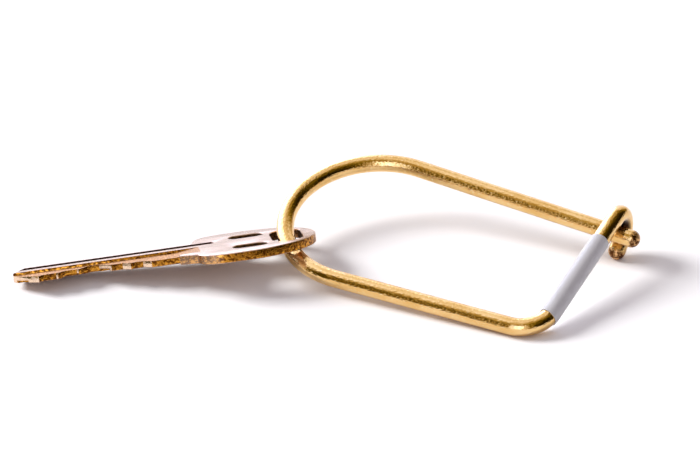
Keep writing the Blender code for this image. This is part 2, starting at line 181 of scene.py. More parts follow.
# %% [markdown]
# ## Closing a wire and remembering its length
#
# Drawn wire carries fine lines along its length. For the material to follow them through every bend, each point of
# the mesh stores where it would be if the wire were pulled straight again: how far along the wire it is, and where on
# the round section. The tip of each wire is filed round by hand, which leaves it rough and darker, with painted shade
# in the hollows between the file's strokes, so each point also stores how much of that it gets.

# %% Close the cut end and store the straightened places
STRAIGHT_PLACE = "pulled_straight"
FILED = "filed"
FILED_LENGTH = 0.0016
FILED_FADE = 0.0005
SMOOTH_ANGLE = radians(35)


def clamp(value):
    """Keep a value from 0 to 1."""
    return min(max(value, 0.0), 1.0)


def close_start():
    """Put a flat face on the wire's cut end."""
    bpy.ops.mesh.select_all(action="DESELECT")
    bpy.ops.mesh.select_non_manifold()
    bpy.ops.mesh.edge_face_add()
    bpy.ops.mesh.select_all(action="SELECT")
    bpy.ops.mesh.normals_make_consistent(inside=False)
    bpy.ops.object.mode_set(mode="OBJECT")


def remember_length(piece, side):
    """Store each point's place on the straightened wire. side is 1 or -1, from the cut end."""
    work = bmesh.new()
    work.from_mesh(piece.data)
    work.verts.ensure_lookup_table()
    layer = work.verts.layers.float_vector.new(STRAIGHT_PLACE)
    filed_layer = work.verts.layers.float.new(FILED)
    ring = [work.verts[number] for number in range(SIDES)]
    centre = sum((vertex.co for vertex in ring), Vector()) / SIDES
    seen = set(ring)
    distance = 0.0
    while ring:
        for number, vertex in enumerate(ring):
            angle = tau * number / SIDES
            radius = (vertex.co - centre).length
            vertex[layer] = (side * distance, radius * cos(angle), radius * sin(angle))
        following = []
        for vertex in ring:
            following += [edge.other_vert(vertex) for edge in vertex.link_edges if edge.other_vert(vertex) not in seen]
        ring = list(dict.fromkeys(following))
        seen.update(ring)
        if ring:
            middle = sum((vertex.co for vertex in ring), Vector()) / len(ring)
            distance += (middle - centre).length
            centre = middle
    for vertex in work.verts:
        into_tip = abs(vertex[layer].x) - (distance - FILED_LENGTH)
        vertex[filed_layer] = clamp(into_tip / FILED_FADE)
    work.to_mesh(piece.data)
    work.free()
    return distance


def smooth(piece):
    """Shade smooth, with sharp edges kept."""
    deselect()
    piece.select_set(True)
    bpy.context.view_layer.objects.active = piece
    bpy.ops.object.shade_smooth_by_angle(angle=SMOOTH_ANGLE)


print("Each tip is filed over", round(FILED_LENGTH * 1000, 1), "mm")

# %% [markdown]
# ## The standing part of the ring
#
# The wire of the real ring is one length. It is made here in two pieces that meet face to face on the arc, because the
# far rod moves when it is squeezed and the bar with its hook doesn't. This first piece runs from the arc along the
# near rod, round the corner, up the bar and round the hook.

# %% Bend the standing wire
def on_arc(angle):
    """Point of the arc's axis, from the near rod's side towards the apex."""
    return arc_centre - along * ARC_RADIUS * sin(angle) - across * ARC_RADIUS * cos(angle)


split_heading = along * cos(SPLIT_ANGLE) - across * sin(SPLIT_ANGLE)
ring_wire = start_wire("ring_wire", on_arc(SPLIT_ANGLE), split_heading)
bend(arc_centre, outward, SPLIT_ANGLE)
pull(along, NEAR_ROD_LENGTH)
bend(corner_centre, outward, corner_turn)
pull(bar, bar_length)
hook_centre = crossing - outward * HOOK_RADIUS
hook_axis = outward.cross(bar)
bend(hook_centre, hook_axis, HOOK_TURN)
hook_heading = bar * cos(HOOK_TURN) - outward * sin(HOOK_TURN)
hook_end = hook_centre + bar * HOOK_RADIUS * sin(HOOK_TURN) + outward * HOOK_RADIUS * cos(HOOK_TURN)
hook_end += hook_heading * HOOK_TAIL
pull(hook_heading, HOOK_TAIL)
round_off(hook_end, hook_heading)
close_start()
ring_length = remember_length(ring_wire, -1)
smooth(ring_wire)
print("Standing wire:", round(ring_length * 1000, 1), "mm,", len(ring_wire.data.polygons), "faces")

# %% [markdown]
# ## The arm of the ring
#
# The second piece goes the other way round the arc, past the apex, and on along the far rod. Past the apex it dips, so
# that the far rod passes through the hook. Turning the ring's directions about the across direction gives the dip.

# %% Bend the arm's wire
dip = Matrix.Rotation(asin(HOOK_RADIUS / (crossing - apex).dot(along)), 3, across)
arm_along = dip @ along
arm_centre = apex + arm_along * ARC_RADIUS
arm_start = apex + dip @ (far_start - apex)
arm_heading = dip @ rod_heading
arm_length = ((crossing - far_start).dot(along) + FAR_ROD_OVERHANG) / cos(FAR_ROD_CONVERGENCE)
arm_wire = start_wire("arm_wire", on_arc(SPLIT_ANGLE), split_heading)
bend(arc_centre, outward, SPLIT_ANGLE - pi / 2)
bend(arm_centre, dip @ outward, -pi / 2 - FAR_ROD_CONVERGENCE)
pull(arm_heading, arm_length)
round_off(arm_start + arm_heading * arm_length, arm_heading)
close_start()
arm_wire_length = remember_length(arm_wire, 1)
smooth(arm_wire)
print("Arm wire:", round(arm_wire_length * 1000, 1), "mm,", len(arm_wire.data.polygons), "faces")

# %% [markdown]
# ## Painted shade inside the hook
#
# Painted shade: the inside of the hook faces its own shadow and mirrors little light, so it is painted nearly
# black. How near a point lies to the hook's centre line tells whether it is inside, and each point stores it for the
# material. The arm's wire gets the same value, at zero, so that both wires can share one material.

# %% Store the painted shade inside the hook
HOOK_SHADE = "painted_hook_shade"
HOOK_SHADE_STARTS = HOOK_RADIUS - 0.15 * WIRE_RADIUS
HOOK_SHADE_FULL = HOOK_RADIUS - 0.65 * WIRE_RADIUS
HOOK_SIDE = 0.0009              # how far before the hook's bend the painted shade fades out


def store_hook_shade(piece, strength):
    """Store how much painted shade each point gets, by how far inside the hook it lies."""
    work = bmesh.new()
    work.from_mesh(piece.data)
    layer = work.verts.layers.float.new(HOOK_SHADE)
    for vertex in work.verts:
        from_centre = vertex.co - hook_centre
        reach = (from_centre - hook_axis * from_centre.dot(hook_axis)).length
        inside = clamp((HOOK_SHADE_STARTS - reach) / (HOOK_SHADE_STARTS - HOOK_SHADE_FULL))
        in_bend = clamp(from_centre.dot(bar) / HOOK_SIDE + 1.0)
        vertex[layer] = strength * inside * in_bend
    dark = sum(vertex[layer] > 0 for vertex in work.verts)
    work.to_mesh(piece.data)
    work.free()
    return dark


print("Darkened points:", store_hook_shade(ring_wire, 1.0), "and", store_hook_shade(arm_wire, 0.0))

# %% [markdown]
# ## The sleeve on the bar
#
# A thin pale tube sits tight on the bar and reaches a little way round the corner. It starts as a closed cylinder.
# Insetting both ends and bridging the two inner edges bores it through. Then its near rim is carried round the corner
# like the wire was, and a small bevel takes the sharpness off both rims, as on cut plastic tube.

# %% Cut a piece of tube
SLEEVE_ON_BAR = 0.0199
SLEEVE_ON_CORNER = 0.0011
SLEEVE_WALL = 0.00014
SLEEVE_RADIUS = 0.0017375
SLEEVE_SIDES = 96
SLEEVE_RIM = 0.00005
SLEEVE_RIM_STEPS = 3
END_FACE_LIMIT = 0.9            # faces whose normals lie this much along the bar are end faces


def select_faces(piece, wanted):
    """In edit mode, select only the faces for which wanted(face) is true."""
    bpy.ops.mesh.select_mode(type="FACE")
    bpy.ops.mesh.select_all(action="DESELECT")
    work = bmesh.from_edit_mesh(piece.data)
    for face in work.faces:
        face.select = wanted(face)
    work.select_flush_mode()
    bmesh.update_edit_mesh(piece.data)
    return sum(face.select for face in work.faces)


deselect()
sleeve_middle = bar_start + bar * SLEEVE_ON_BAR / 2
sleeve_turn = bar.to_track_quat("Z", "X").to_euler()
bpy.ops.mesh.primitive_cylinder_add(
    vertices=SLEEVE_SIDES, radius=SLEEVE_RADIUS, depth=SLEEVE_ON_BAR, location=sleeve_middle, rotation=sleeve_turn)
sleeve = bpy.context.object
sleeve.name = "sleeve"
bpy.ops.object.transform_apply(location=True, rotation=True, scale=True)
bpy.ops.object.mode_set(mode="EDIT")
select_faces(sleeve, lambda face: abs(face.normal.dot(bar)) > END_FACE_LIMIT)
bpy.ops.mesh.inset(thickness=SLEEVE_WALL, use_individual=True)
bpy.ops.mesh.delete(type="FACE")
bpy.ops.mesh.select_mode(type="EDGE")
bpy.ops.mesh.select_all(action="DESELECT")
bpy.ops.mesh.select_non_manifold()
bpy.ops.mesh.bridge_edge_loops()
bpy.ops.mesh.select_all(action="SELECT")
bpy.ops.mesh.normals_make_consistent(inside=False)
rim_faces = select_faces(sleeve, lambda face: face.normal.dot(bar) < -END_FACE_LIMIT)
bend(corner_centre, outward, -SLEEVE_ON_CORNER / CORNER_RADIUS)
bpy.ops.object.mode_set(mode="OBJECT")
print("Rim faces carried round the corner:", rim_faces)
rim = sleeve.modifiers.new("rim", "BEVEL")
rim.width = SLEEVE_RIM
rim.segments = SLEEVE_RIM_STEPS
rim.angle_limit = SMOOTH_ANGLE
bpy.ops.object.modifier_apply(modifier="rim")
smooth(sleeve)
print("Sleeve:", len(sleeve.data.polygons), "faces")

# %% [markdown]
# ## The key's own directions
#
# The record holds a point on the flat face of the key's bow and the direction out of that face. The key's joint holds
# the middle of its slot. Both points lie on the key's long axis, so together they give the direction along the key.

# %% Directions of the key
KEY_THICKNESS = 0.0017
mounts = {mount["name"]: mount for mount in frame["record"]["mounts"]}
key_up = Vector(mounts["bow_face"]["axis"]).normalized()
slot_middle = Vector(joints["key_swing"]["pos_m"])
bow_point = Vector(mounts["bow_face"]["pos_m"]) - key_up * KEY_THICKNESS / 2
key_along = (slot_middle - bow_point).normalized()
key_across = key_up.cross(key_along)
print("Along the key:", [round(value, 3) for value in key_along])

# %% [markdown]
# ## The key
#
# The CAD key already has the right outline, cuts, groove and openings, so the visible key starts as a copy of its
# mesh. The copy is made of loose triangles. Merging their corners and dissolving flat triangles gives clean faces, and
# a small bevel rounds the edges as years in a pocket do.

# %% Copy and finish the key
KEY_EDGE = 0.00007
KEY_EDGE_STEPS = 2
MERGE_DISTANCE = 0.000002
FLAT_LIMIT = radians(0.8)
EDGE_LIMIT = radians(32)

deselect()
key = bpy.data.objects.new("door_key", frame["nodes"]["key"].data.copy())
bpy.context.scene.collection.objects.link(key)
key.select_set(True)
bpy.context.view_layer.objects.active = key
bpy.ops.object.mode_set(mode="EDIT")
bpy.ops.mesh.select_all(action="SELECT")
bpy.ops.mesh.remove_doubles(threshold=MERGE_DISTANCE)
bpy.ops.mesh.dissolve_limited(angle_limit=FLAT_LIMIT)
bpy.ops.object.mode_set(mode="OBJECT")
if key.data.has_custom_normals:
    bpy.ops.mesh.customdata_custom_splitnormals_clear()
worn = key.modifiers.new("worn", "BEVEL")
worn.width = KEY_EDGE
worn.segments = KEY_EDGE_STEPS
worn.angle_limit = EDGE_LIMIT
worn.use_clamp_overlap = True
bpy.ops.object.modifier_apply(modifier="worn")
smooth(key)
print("Key:", len(key.data.polygons), "faces")

# %% [markdown]
# ## What the key's faces are
#
# The flat faces of a key are polished by handling, and its milled floors stay rough and tan. Its sawn edges are dull
# and darker, partly as painted shade. Painted shade makes its narrow groove and the openings of its bow nearly black,
# and the slopes of its cuts that face the tip carry a painted highlight. The material can tell these apart by four
# values stored on each face.
# Each point also stores its place along, across and through the key, so that brushed lines run along the blade.

# %% Store finishes, painted shade and highlight, and places on the key
KEY_PLACE = "key_place"
WALL = "wall"
PAINTED_HIGHLIGHT = "painted_highlight"
MILLED = "milled"
PAINTED_SHADE = "painted_shade"
WALL_LIMIT = 0.5                # a wall's normal lies less than this along the key's thickness
GROOVE_MIDDLE = 0.0028          # across the key
GROOVE_WIDTH = 0.0013
GROOVE_END = -0.0133            # along the key
SUNK = 0.00012                  # a milled floor lies at least this far below the flat face
HIGHLIGHT_SLOPES = (0.12, 0.40)   # how far a wall must face the tip to get a little painted highlight, and all of it
CUTS_END = -0.0235              # along the key
SHOULDER_HIGHLIGHT = 0.25            # share of the painted highlight that the shoulder gets
RIM_DEPTH = 0.00001             # the groove's bevelled rim gets painted shade from this depth on
OPENING_SHADE = 0.8             # how much painted shade the walls of the bow's openings get
BOW_OPENINGS = ((-0.0125, 0.0016, 0.0068), (0.0, 0.0031, 0.0046))   # from and to along the key, and reach across it


def describe_key(piece):
    """Store each face's finish, painted shade and highlight, and each point's place in the key's own directions."""
    work = bmesh.new()
    work.from_mesh(piece.data)
    place_layer = work.verts.layers.float_vector.new(KEY_PLACE)
    for vertex in work.verts:
        offset_place = vertex.co - slot_middle
        vertex[place_layer] = (offset_place.dot(key_along), offset_place.dot(key_across), offset_place.dot(key_up))
    layers = {name: work.faces.layers.float.new(name) for name in (WALL, PAINTED_HIGHLIGHT, MILLED, PAINTED_SHADE)}
    counts = dict.fromkeys(layers, 0)
    low_slope, high_slope = HIGHLIGHT_SLOPES
    for face in work.faces:
        middle = face.calc_center_median() - slot_middle
        depth = KEY_THICKNESS / 2 - abs(middle.dot(key_up))
        place_along, place_across = middle.dot(key_along), middle.dot(key_across)
        in_groove = abs(place_across - GROOVE_MIDDLE) < GROOVE_WIDTH / 2 + KEY_EDGE
        on_top = middle.dot(key_up) > 0 and depth > RIM_DEPTH and place_along < GROOVE_END + KEY_EDGE
        is_wall = abs(face.normal.dot(key_up)) < WALL_LIMIT
        in_opening = any(low < place_along < high and abs(place_across) < reach for low, high, reach in BOW_OPENINGS)
        # Painted highlight on slopes facing the tip; painted shade in the groove and the bow's openings.
        slope = (-face.normal.dot(key_along) - low_slope) / (high_slope - low_slope)
        painted_highlight = clamp(slope) * (1.0 if place_along < CUTS_END else SHOULDER_HIGHLIGHT)
        finishes_and_painted_light = {
            PAINTED_SHADE: 1.0 if in_groove and on_top else OPENING_SHADE * (is_wall and in_opening),
            WALL: float(is_wall),
            PAINTED_HIGHLIGHT: painted_highlight * is_wall,
            MILLED: float(depth > SUNK and not is_wall)}
        for name, share in finishes_and_painted_light.items():
            face[layers[name]] = share
            counts[name] += share > 0
    work.to_mesh(piece.data)
    work.free()
    return counts


print("Faces of the key by finish:", describe_key(key))

# %% [markdown]
# ## Wear on handled brass
#
# Three things break up the surface of brass that is carried in a pocket: lines left by drawing or brushing, small dents
# and specks, and wide cloudy stains. All the brass here shows them, at different strengths, so they are built once as a
# shader node group. It reads a place, stretched along the piece, and gives out the lines, specks and stains as masks
# from 0 to 1, and a height for bump.

# %% Node helpers
MILLIMETRE = 0.001


def add_node(tree, kind, **settings):
    """Add a node and set its properties."""
    node = tree.nodes.new(kind)
    for setting, value in settings.items():
        setattr(node, setting, value)
    return node


def feed(tree, socket, value):
    """Give a socket a number or a colour, or link another node's output to it."""
    if isinstance(value, tuple):
        socket.default_value = (*value, 1.0)
    elif isinstance(value, (int, float)):
        socket.default_value = value
    else:
        tree.links.new(value, socket)


def noise(tree, place, size, stretch=1.0, detail=3.0, roughness=0.5):
    """Noise with marks of a size in metres, stretched along the piece's first direction."""
    mapping = add_node(tree, "ShaderNodeMapping")
    scale = 1 / size
    mapping.inputs["Scale"].default_value = (scale / stretch, scale, scale)
    tree.links.new(place, mapping.inputs["Vector"])
    texture = add_node(tree, "ShaderNodeTexNoise")
    for socket, value in (
            ("Vector", mapping.outputs["Vector"]), ("Scale", 1.0), ("Detail", detail), ("Roughness", roughness)):
        feed(tree, texture.inputs[socket], value)
    return texture.outputs["Fac"]


def span(tree, value, low, high, to_low=0.0, to_high=1.0):
    """Map a value's range to another, clamped, with eased ends."""
    mapped = add_node(tree, "ShaderNodeMapRange", interpolation_type="SMOOTHSTEP")
    for socket, number in (
            ("Value", value), ("From Min", low), ("From Max", high), ("To Min", to_low), ("To Max", to_high)):
        feed(tree, mapped.inputs[socket], number)
    return mapped.outputs["Result"]


def arithmetic(tree, operation, first, *others):
    """Join two or more values, each a socket or a number."""
    for other in others:
        node = add_node(tree, "ShaderNodeMath", operation=operation)
        feed(tree, node.inputs[0], first)
        feed(tree, node.inputs[1], other)
        first = node.outputs["Value"]
    return first


print("Node helpers: add_node, feed, noise, span and arithmetic")

# %% Build the wear group
def new_group(name, inputs, outputs):
    """Make a node group with named sockets, and return it with its two end nodes."""
    group = bpy.data.node_groups.new(name, "ShaderNodeTree")
    for way, sockets in (("INPUT", inputs), ("OUTPUT", outputs)):
        for label, kind in sockets:
            group.interface.new_socket(name=label, in_out=way, socket_type=kind)
    return group, add_node(group, "NodeGroupInput"), add_node(group, "NodeGroupOutput")


LINE_WIDTH = 0.09 * MILLIMETRE
LINE_STRETCH = 40
LINE_MASK = (0.35, 0.65)        # the noise where a mask starts and where it is full
SPECK_WIDTH = 0.33 * MILLIMETRE
SPECK_STRETCH = 1.6
SPECK_MASK = (0.60, 0.76)
STAIN_WIDTH = 2.2 * MILLIMETRE
STAIN_STRETCH = 2.5
STAIN_MASK = (0.38, 0.66)
wear, wear_in, wear_out = new_group(
    "handled brass wear",
    (("Place", "NodeSocketVector"), ("Line Height", "NodeSocketFloat"), ("Speck Height", "NodeSocketFloat")),
    (("Lines", "NodeSocketFloat"), ("Specks", "NodeSocketFloat"),
     ("Stains", "NodeSocketFloat"), ("Height", "NodeSocketFloat")))
place = wear_in.outputs["Place"]
lines = noise(wear, place, LINE_WIDTH, LINE_STRETCH, detail=2.0)
specks = noise(wear, place, SPECK_WIDTH, SPECK_STRETCH, detail=1.0)
stains = noise(wear, place, STAIN_WIDTH, STAIN_STRETCH, detail=4.0, roughness=0.6)
line_height = arithmetic(wear, "MULTIPLY", lines, wear_in.outputs["Line Height"])
speck_height = arithmetic(wear, "MULTIPLY", specks, wear_in.outputs["Speck Height"])
for label, value in (
        ("Lines", span(wear, lines, *LINE_MASK)),
        ("Specks", span(wear, specks, *SPECK_MASK)),
        ("Stains", span(wear, stains, *STAIN_MASK)),
        ("Height", arithmetic(wear, "ADD", line_height, speck_height))):
    wear.links.new(value, wear_out.inputs[label])
print("Wear group:", len(wear.nodes), "nodes")

# %% [markdown]
# ## The wire's brass
#
# The ring is bare yellow brass, drawn through a die, which leaves fine lines along it, and then bent and carried.
# Metallic brass takes all its look from what it reflects, so its base colour is simply how much of each colour it
# gives back. Stains make it a little browner and duller, and specks catch the light on their own. The filed tips are
# darker and coppery, with painted shade in the hollows between the file's strokes, and painted shade makes the inside
# of the hook nearly black.

# %% Material helpers
def blend(tree, data_type, mask, first, second):
    """Mix two things by a mask."""
    node = add_node(tree, "ShaderNodeMix", data_type=data_type)
    for socket, value in (("Factor", mask), ("A", first), ("B", second)):
        feed(tree, node.inputs[socket], value)
    return node.outputs["Result"]


def blend_colours(tree, mask, first, second):
    """Mix two colours by a mask; each is a socket or a colour."""
    return blend(tree, "RGBA", mask, first, second)


def blend_values(tree, mask, first, second):
    """Mix two values by a mask; each is a socket or a number."""
    return blend(tree, "FLOAT", mask, first, second)


def stored(tree, name, output="Fac"):
    """Read what the mesh stores under a name."""
    return add_node(tree, "ShaderNodeAttribute", attribute_name=name).outputs[output]


def new_material(name):
    """Make a material, and return it with its node tree."""
    material = bpy.data.materials.new(name)
    material.use_nodes = True
    return material, material.node_tree


def brass_material(name, place_name, line_height, speck_height):
    """Start a brass whose wear follows a stored place. Returns it with its tree, shader, place and wear values."""
    material, tree = new_material(name)
    shader = tree.nodes["Principled BSDF"]
    shader.inputs["Metallic"].default_value = 1.0
    place = stored(tree, place_name, "Vector")
    wear_node = add_node(tree, "ShaderNodeGroup", node_tree=wear)
    for socket, value in (("Place", place), ("Line Height", line_height), ("Speck Height", speck_height)):
        feed(tree, wear_node.inputs[socket], value)
    return material, tree, shader, place, wear_node.outputs


def add_bump(tree, shader, height, distance):
    """Feed a height to the shader's normal."""
    bump = add_node(tree, "ShaderNodeBump")
    for socket, value in (("Strength", 1.0), ("Distance", distance), ("Height", height)):
        feed(tree, bump.inputs[socket], value)
    tree.links.new(bump.outputs["Normal"], shader.inputs["Normal"])


def cover(material, *pieces):
    """Give pieces a material."""
    for piece in pieces:
        piece.data.materials.clear()
        piece.data.materials.append(material)


print("Material helpers: blend_colours, blend_values, stored, new_material, brass_material, add_bump and cover")

# %% Brass of the wire
WIRE_GOLD = (0.81, 0.545, 0.235)
WIRE_STAIN = (0.72, 0.45, 0.155)
WIRE_SPECK = (0.88, 0.65, 0.36)
WIRE_FILED = (0.70, 0.40, 0.17)
# Painted shade in the hollows between the file's strokes on the tips.
WIRE_HOLLOW_SHADE = (0.10, 0.035, 0.008)
# Painted shade: the inside of the hook is painted nearly black.
WIRE_HOOK_SHADE = (0.045, 0.018, 0.006)
WIRE_ROUGHNESS = (0.05, 0.10)   # clean and stained
FILED_OR_SHADED_ROUGHNESS = 0.30          # filed tip, or painted shade inside the hook
WIRE_LINES = 0.25               # heights, as shares of the bump
WIRE_SPECKS = 1.0
HOLLOW_HEIGHT = -1.5
HOLLOW_WIDTH = 0.70 * MILLIMETRE
HOLLOW_MASK = (0.44, 0.56)
WIRE_BUMP = 0.050 * MILLIMETRE
wire_brass, tree, shader, wire_place, marks = brass_material(
    "drawn wire brass", STRAIGHT_PLACE, WIRE_LINES, WIRE_SPECKS)
stained = blend_colours(tree, marks["Stains"], WIRE_GOLD, WIRE_STAIN)
speckled = blend_colours(tree, marks["Specks"], stained, WIRE_SPECK)
is_filed, in_hook_shade = stored(tree, FILED), stored(tree, HOOK_SHADE)
hollows_and_shade = span(tree, noise(tree, wire_place, HOLLOW_WIDTH, roughness=0.55), *HOLLOW_MASK)
# Painted shade: the hollows of the filed tips are darkened.
filed_colour_and_shade = blend_colours(tree, hollows_and_shade, WIRE_FILED, WIRE_HOLLOW_SHADE)
bright_colour = blend_colours(tree, is_filed, speckled, filed_colour_and_shade)
# Painted shade inside the hook: the colour there is blended towards nearly black.
tree.links.new(blend_colours(tree, in_hook_shade, bright_colour, WIRE_HOOK_SHADE), shader.inputs["Base Color"])
clean_roughness = span(tree, marks["Stains"], 0.0, 1.0, *WIRE_ROUGHNESS)
# The filed tips and the painted shade inside the hook are rougher.
is_filed_or_shaded = arithmetic(tree, "MAXIMUM", is_filed, in_hook_shade)
tree.links.new(blend_values(tree, is_filed_or_shaded, clean_roughness, FILED_OR_SHADED_ROUGHNESS), shader.inputs["Roughness"])
hollow_height = arithmetic(tree, "MULTIPLY", hollows_and_shade, is_filed, HOLLOW_HEIGHT)
add_bump(tree, shader, arithmetic(tree, "ADD", marks["Height"], hollow_height), WIRE_BUMP)
cover(wire_brass, ring_wire, arm_wire)
print("Wire material:", len(tree.nodes), "nodes")

# %% [markdown]
# ## The key's brass
#
# Key brass is paler and pinker than the wire. Its flat faces are polished by handling and carry fine lines along the
# blade. Its milled floor is rougher and tan, and no longer mirrors all of the room, so it is a little less metallic.
# Its sawn and tumbled walls are brown, darker partly as painted shade, and mottled with dark pits, and the slopes
# facing the tip carry a painted highlight. Painted shade makes the groove nearly black and darkens the face beside it.
# The painted shade isn't metal at all: it is rough and has no highlight.

# %% Brass of the key
KEY_FACE = (0.59, 0.42, 0.315)
KEY_STAIN = (0.48, 0.33, 0.235)
KEY_MILLED = (0.47, 0.228, 0.066)
KEY_MILLED_DARK = (0.25, 0.105, 0.025)
# The walls' brown is darker partly as painted shade, for the shadowed table that they mirror.
KEY_WALL_AND_SHADE = (0.60, 0.265, 0.032)
# Painted highlight on the slopes of the cuts that face the tip, which face the light.
KEY_PAINTED_HIGHLIGHT = (0.84, 0.62, 0.44)
# Dark pits on the walls; the same colour is painted shade beside the groove.
KEY_PIT_AND_SHADE = (0.10, 0.025, 0.002)
# Painted shade: the groove and the walls of the bow's openings are nearly black.
KEY_PAINTED_SHADE = (0.022, 0.012, 0.007)
KEY_LINES = 0.4                 # heights, as shares of the bump
KEY_SPECKS = 1.0
PIT_WIDTH = 0.46 * MILLIMETRE
PIT_STRETCH = 1.5
PIT_MASK = (0.40, 0.62)
TOOL_MARK_WIDTH = 0.42 * MILLIMETRE
TOOL_MARK_STRETCH = 0.8
TOOL_MARK_MASK = (0.42, 0.62)
# Painted shade beside the groove, measured from the groove's middle.
GROOVE_SHADE_STARTS = 0.95 * GROOVE_WIDTH     # from the groove's middle
GROOVE_SHADE_FULL = 0.60 * GROOVE_WIDTH
GROOVE_SHADE_STRENGTH = 0.95
key_brass, tree, shader, key_place, marks = brass_material("worn key brass", KEY_PLACE, KEY_LINES, KEY_SPECKS)
is_wall, has_painted_highlight, is_milled, has_painted_shade = (stored(tree, name) for name in (WALL, PAINTED_HIGHLIGHT, MILLED, PAINTED_SHADE))
pit_noise = noise(tree, key_place, PIT_WIDTH, PIT_STRETCH, detail=4.0, roughness=0.62)
tool_mark_noise = noise(tree, key_place, TOOL_MARK_WIDTH, TOOL_MARK_STRETCH, roughness=0.6)
pits = span(tree, pit_noise, *PIT_MASK)
tool_marks = span(tree, tool_mark_noise, *TOOL_MARK_MASK)
face_colour = blend_colours(tree, marks["Stains"], KEY_FACE, KEY_STAIN)
milled_colour = blend_colours(tree, tool_marks, KEY_MILLED, KEY_MILLED_DARK)
# Walls: darker partly as painted shade, with dark pits.
sawn_colour_and_shade = blend_colours(tree, pits, KEY_WALL_AND_SHADE, KEY_PIT_AND_SHADE)
# Painted highlight on the walls that face the tip.
wall_colour = blend_colours(tree, has_painted_highlight, sawn_colour_and_shade, KEY_PAINTED_HIGHLIGHT)
flat_colour = blend_colours(tree, is_milled, face_colour, milled_colour)
clean_colour = blend_colours(tree, is_wall, flat_colour, wall_colour)
key_axes = add_node(tree, "ShaderNodeSeparateXYZ")
tree.links.new(key_place, key_axes.inputs["Vector"])
# Painted shade beside the groove widens its dark line.
from_groove = arithmetic(tree, "ABSOLUTE", arithmetic(tree, "SUBTRACT", key_axes.outputs["Y"], GROOVE_MIDDLE), 0)
beside_groove = span(tree, from_groove, GROOVE_SHADE_FULL, GROOVE_SHADE_STARTS, 1.0, 0.0)
along_groove = span(tree, key_axes.outputs["X"], GROOVE_END, GROOVE_END + GROOVE_WIDTH / 2, 1.0, 0.0)
groove_shade = arithmetic(tree, "MULTIPLY", beside_groove, along_groove, GROOVE_SHADE_STRENGTH)
groove_shaded_colour = blend_colours(tree, groove_shade, clean_colour, KEY_PIT_AND_SHADE)
tree.links.new(blend_colours(tree, has_painted_shade, groove_shaded_colour, KEY_PAINTED_SHADE), shader.inputs["Base Color"])
print("Key colours:", len(tree.nodes), "nodes")

# %% Roughness, metal and bump of the key
FACE_ROUGHNESS = (0.20, 0.30)   # between and on the brushed lines
WALL_ROUGHNESS = (0.13, 0.40)   # clean and pitted
MILLED_ROUGHNESS = 0.44
SHADE_ROUGHNESS = 0.7
MILLED_METAL = 0.85
CLEAN_HIGHLIGHT = 0.5
PIT_HEIGHT = -2.5               # heights, as shares of the bump
HIGHLIGHT_PIT_HEIGHT = -0.5
TOOL_MARK_HEIGHT = 2.0
KEY_BUMP = 0.009 * MILLIMETRE
face_roughness = span(tree, marks["Lines"], 0.0, 1.0, *FACE_ROUGHNESS)
wall_roughness = span(tree, pits, 0.0, 1.0, *WALL_ROUGHNESS)
flat_roughness = blend_values(tree, is_milled, face_roughness, MILLED_ROUGHNESS)
clean_roughness = blend_values(tree, is_wall, flat_roughness, wall_roughness)
# Painted shade is dull: rough, with no highlight and no metal.
all_painted_shade = arithmetic(tree, "MAXIMUM", has_painted_shade, groove_shade)
clean_metal = blend_values(tree, is_milled, 1.0, MILLED_METAL)
for socket, clean, grimy in (
        ("Roughness", clean_roughness, SHADE_ROUGHNESS),
        ("Specular IOR Level", CLEAN_HIGHLIGHT, 0.0),
        ("Metallic", clean_metal, 0.0)):
    tree.links.new(blend_values(tree, all_painted_shade, clean, grimy), shader.inputs[socket])
pit_depth = blend_values(tree, has_painted_highlight, PIT_HEIGHT, HIGHLIGHT_PIT_HEIGHT)
pit_height = arithmetic(tree, "MULTIPLY", pits, is_wall, pit_depth)
mark_height = arithmetic(tree, "MULTIPLY", tool_marks, is_milled, TOOL_MARK_HEIGHT)
rough_height = arithmetic(tree, "ADD", pit_height, mark_height)
add_bump(tree, shader, arithmetic(tree, "ADD", marks["Height"], rough_height), KEY_BUMP)
cover(key_brass, key)
print("Key material:", len(tree.nodes), "nodes")

# %% [markdown]
# ## The sleeve's finish
#
# The sleeve is plain white plastic with a soft sheen, and a little light passes through its skin. Handling leaves
# faint grey smudges and fine scuffs on it.

# %% Plastic of the sleeve
SLEEVE_WHITE = (0.93, 0.91, 0.96)
SLEEVE_SMUDGE = (0.875, 0.855, 0.905)
SLEEVE_HIGHLIGHT = 0.35
SLEEVE_TRANSLUCENCE = 0.4
SLEEVE_LIGHT_REACH = 0.9 * MILLIMETRE
SLEEVE_ROUGHNESS = (0.38, 0.52)
SMUDGE_WIDTH = 3.0 * MILLIMETRE
SMUDGE_MASK = (0.48, 0.72)
SCUFF_WIDTH = 0.25 * MILLIMETRE
SCUFF_MASK = (0.3, 0.7)
SCUFF_BUMP = 0.002 * MILLIMETRE
sleeve_plastic, tree = new_material("white sleeve plastic")
shader = tree.nodes["Principled BSDF"]
shader.inputs["Specular IOR Level"].default_value = SLEEVE_HIGHLIGHT
shader.inputs["Subsurface Weight"].default_value = SLEEVE_TRANSLUCENCE
shader.inputs["Subsurface Radius"].default_value = (1.0, 1.0, 1.0)
shader.inputs["Subsurface Scale"].default_value = SLEEVE_LIGHT_REACH
sleeve_place = add_node(tree, "ShaderNodeTexCoord").outputs["Object"]
smudges = span(tree, noise(tree, sleeve_place, SMUDGE_WIDTH, detail=5.0), *SMUDGE_MASK)
scuffs = noise(tree, sleeve_place, SCUFF_WIDTH, detail=4.0)
tree.links.new(blend_colours(tree, smudges, SLEEVE_WHITE, SLEEVE_SMUDGE), shader.inputs["Base Color"])
tree.links.new(span(tree, scuffs, *SCUFF_MASK, *SLEEVE_ROUGHNESS), shader.inputs["Roughness"])
add_bump(tree, shader, scuffs, SCUFF_BUMP)
cover(sleeve_plastic, sleeve)
